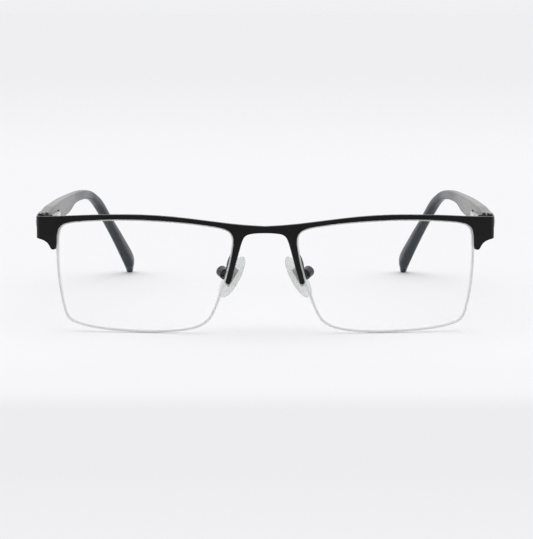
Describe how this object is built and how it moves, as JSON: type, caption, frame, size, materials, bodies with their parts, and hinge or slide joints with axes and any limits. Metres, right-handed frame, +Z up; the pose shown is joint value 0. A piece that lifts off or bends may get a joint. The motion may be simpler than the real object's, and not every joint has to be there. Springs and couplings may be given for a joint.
{
  "type": "half rim eyeglasses",
  "caption": "Half rim eyeglasses with a metal brow front, clear lenses held by nylon cords, rocking nose pads and folding sprung temples.",
  "frame": {"origin": "middle of the object's footprint, at the height of the surface that the lenses and temple tips rest on", "axes": "+X to the wearer's left across the front, +Y from the bridge back to the ears, +Z up"},
  "size_m": [0.1454, 0.1369, 0.0381],
  "materials": {
    "black_enamel": "satin black coating on sheet metal",
    "gunmetal": "dark plated wire",
    "nickel": "tumbled nickel silver",
    "screw_steel": "turned steel",
    "charcoal_plastic": "polished dark moulded plastic",
    "clear_lens": "clear coated plastic lens",
    "clear_nylon": "clear drawn cord",
    "black_nylon": "black extruded strip",
    "silicone": "clear soft moulding",
    "pad_plastic": "moulded stiff plastic"
  },
  "bodies": {
    "front": {"front_frame": "black_enamel", "lens_l": "clear_lens", "upper_liner_l": "black_nylon", "nylon_cord_l": "clear_nylon", "pad_arm_l": "gunmetal", "pad_box_l": "gunmetal", "pad_screw_l": "screw_steel", "hinge_leaf_l": "black_enamel", "hinge_screw_l": "screw_steel", "lens_r": "clear_lens", "upper_liner_r": "black_nylon", "nylon_cord_r": "clear_nylon", "pad_arm_r": "gunmetal", "pad_box_r": "gunmetal", "pad_screw_r": "screw_steel", "hinge_leaf_r": "black_enamel", "hinge_screw_r": "screw_steel"},
    "slider_l": {"hinge_slider_l": "nickel", "rod_stop_l": "screw_steel"},
    "temple_l": {"temple_l": "charcoal_plastic", "hinge_housing_l": "nickel", "hinge_bush_l": "nickel", "hinge_spring_l": "screw_steel", "front_rivet_l": "nickel", "rear_rivet_l": "nickel"},
    "pad_l": {"nose_pad_l": "silicone", "pad_core_l": "pad_plastic"},
    "slider_r": {"hinge_slider_r": "nickel", "rod_stop_r": "screw_steel"},
    "temple_r": {"temple_r": "charcoal_plastic", "hinge_housing_r": "nickel", "hinge_bush_r": "nickel", "hinge_spring_r": "screw_steel", "front_rivet_r": "nickel", "rear_rivet_r": "nickel"},
    "pad_r": {"nose_pad_r": "silicone", "pad_core_r": "pad_plastic"}
  },
  "joints": [
    {"name": "temple_fold_l", "type": "hinge", "parent": "front", "child": "slider_l", "pos_m": [0.0705, -0.0543, 0.0339], "axis": [0, 0, 1], "range_deg": [-10, 82]},
    {"name": "spring_slide_l", "type": "slide", "parent": "slider_l", "child": "temple_l", "axis": [0, 1, 0], "range_m": [0, 0.0015], "stiffness_N_per_m": 600, "springref_m": -0.0035, "deforming": ["hinge_spring_l"]},
    {"name": "pad_rock_l", "type": "hinge", "parent": "front", "child": "pad_l", "pos_m": [0.01259, -0.061, 0.01818], "axis": [0.4596, 0.8462, 0.2696], "range_deg": [-8, 8]},
    {"name": "temple_fold_r", "type": "hinge", "parent": "front", "child": "slider_r", "pos_m": [-0.0705, -0.0543, 0.0339], "axis": [0, 0, -1], "range_deg": [-10, 77]},
    {"name": "spring_slide_r", "type": "slide", "parent": "slider_r", "child": "temple_r", "axis": [0, 1, 0], "range_m": [0, 0.0015], "stiffness_N_per_m": 600, "springref_m": -0.0035, "deforming": ["hinge_spring_r"]},
    {"name": "pad_rock_r", "type": "hinge", "parent": "front", "child": "pad_r", "pos_m": [-0.01259, -0.061, 0.01818], "axis": [0.4596, -0.8462, -0.2696], "range_deg": [-8, 8]}
  ]
}
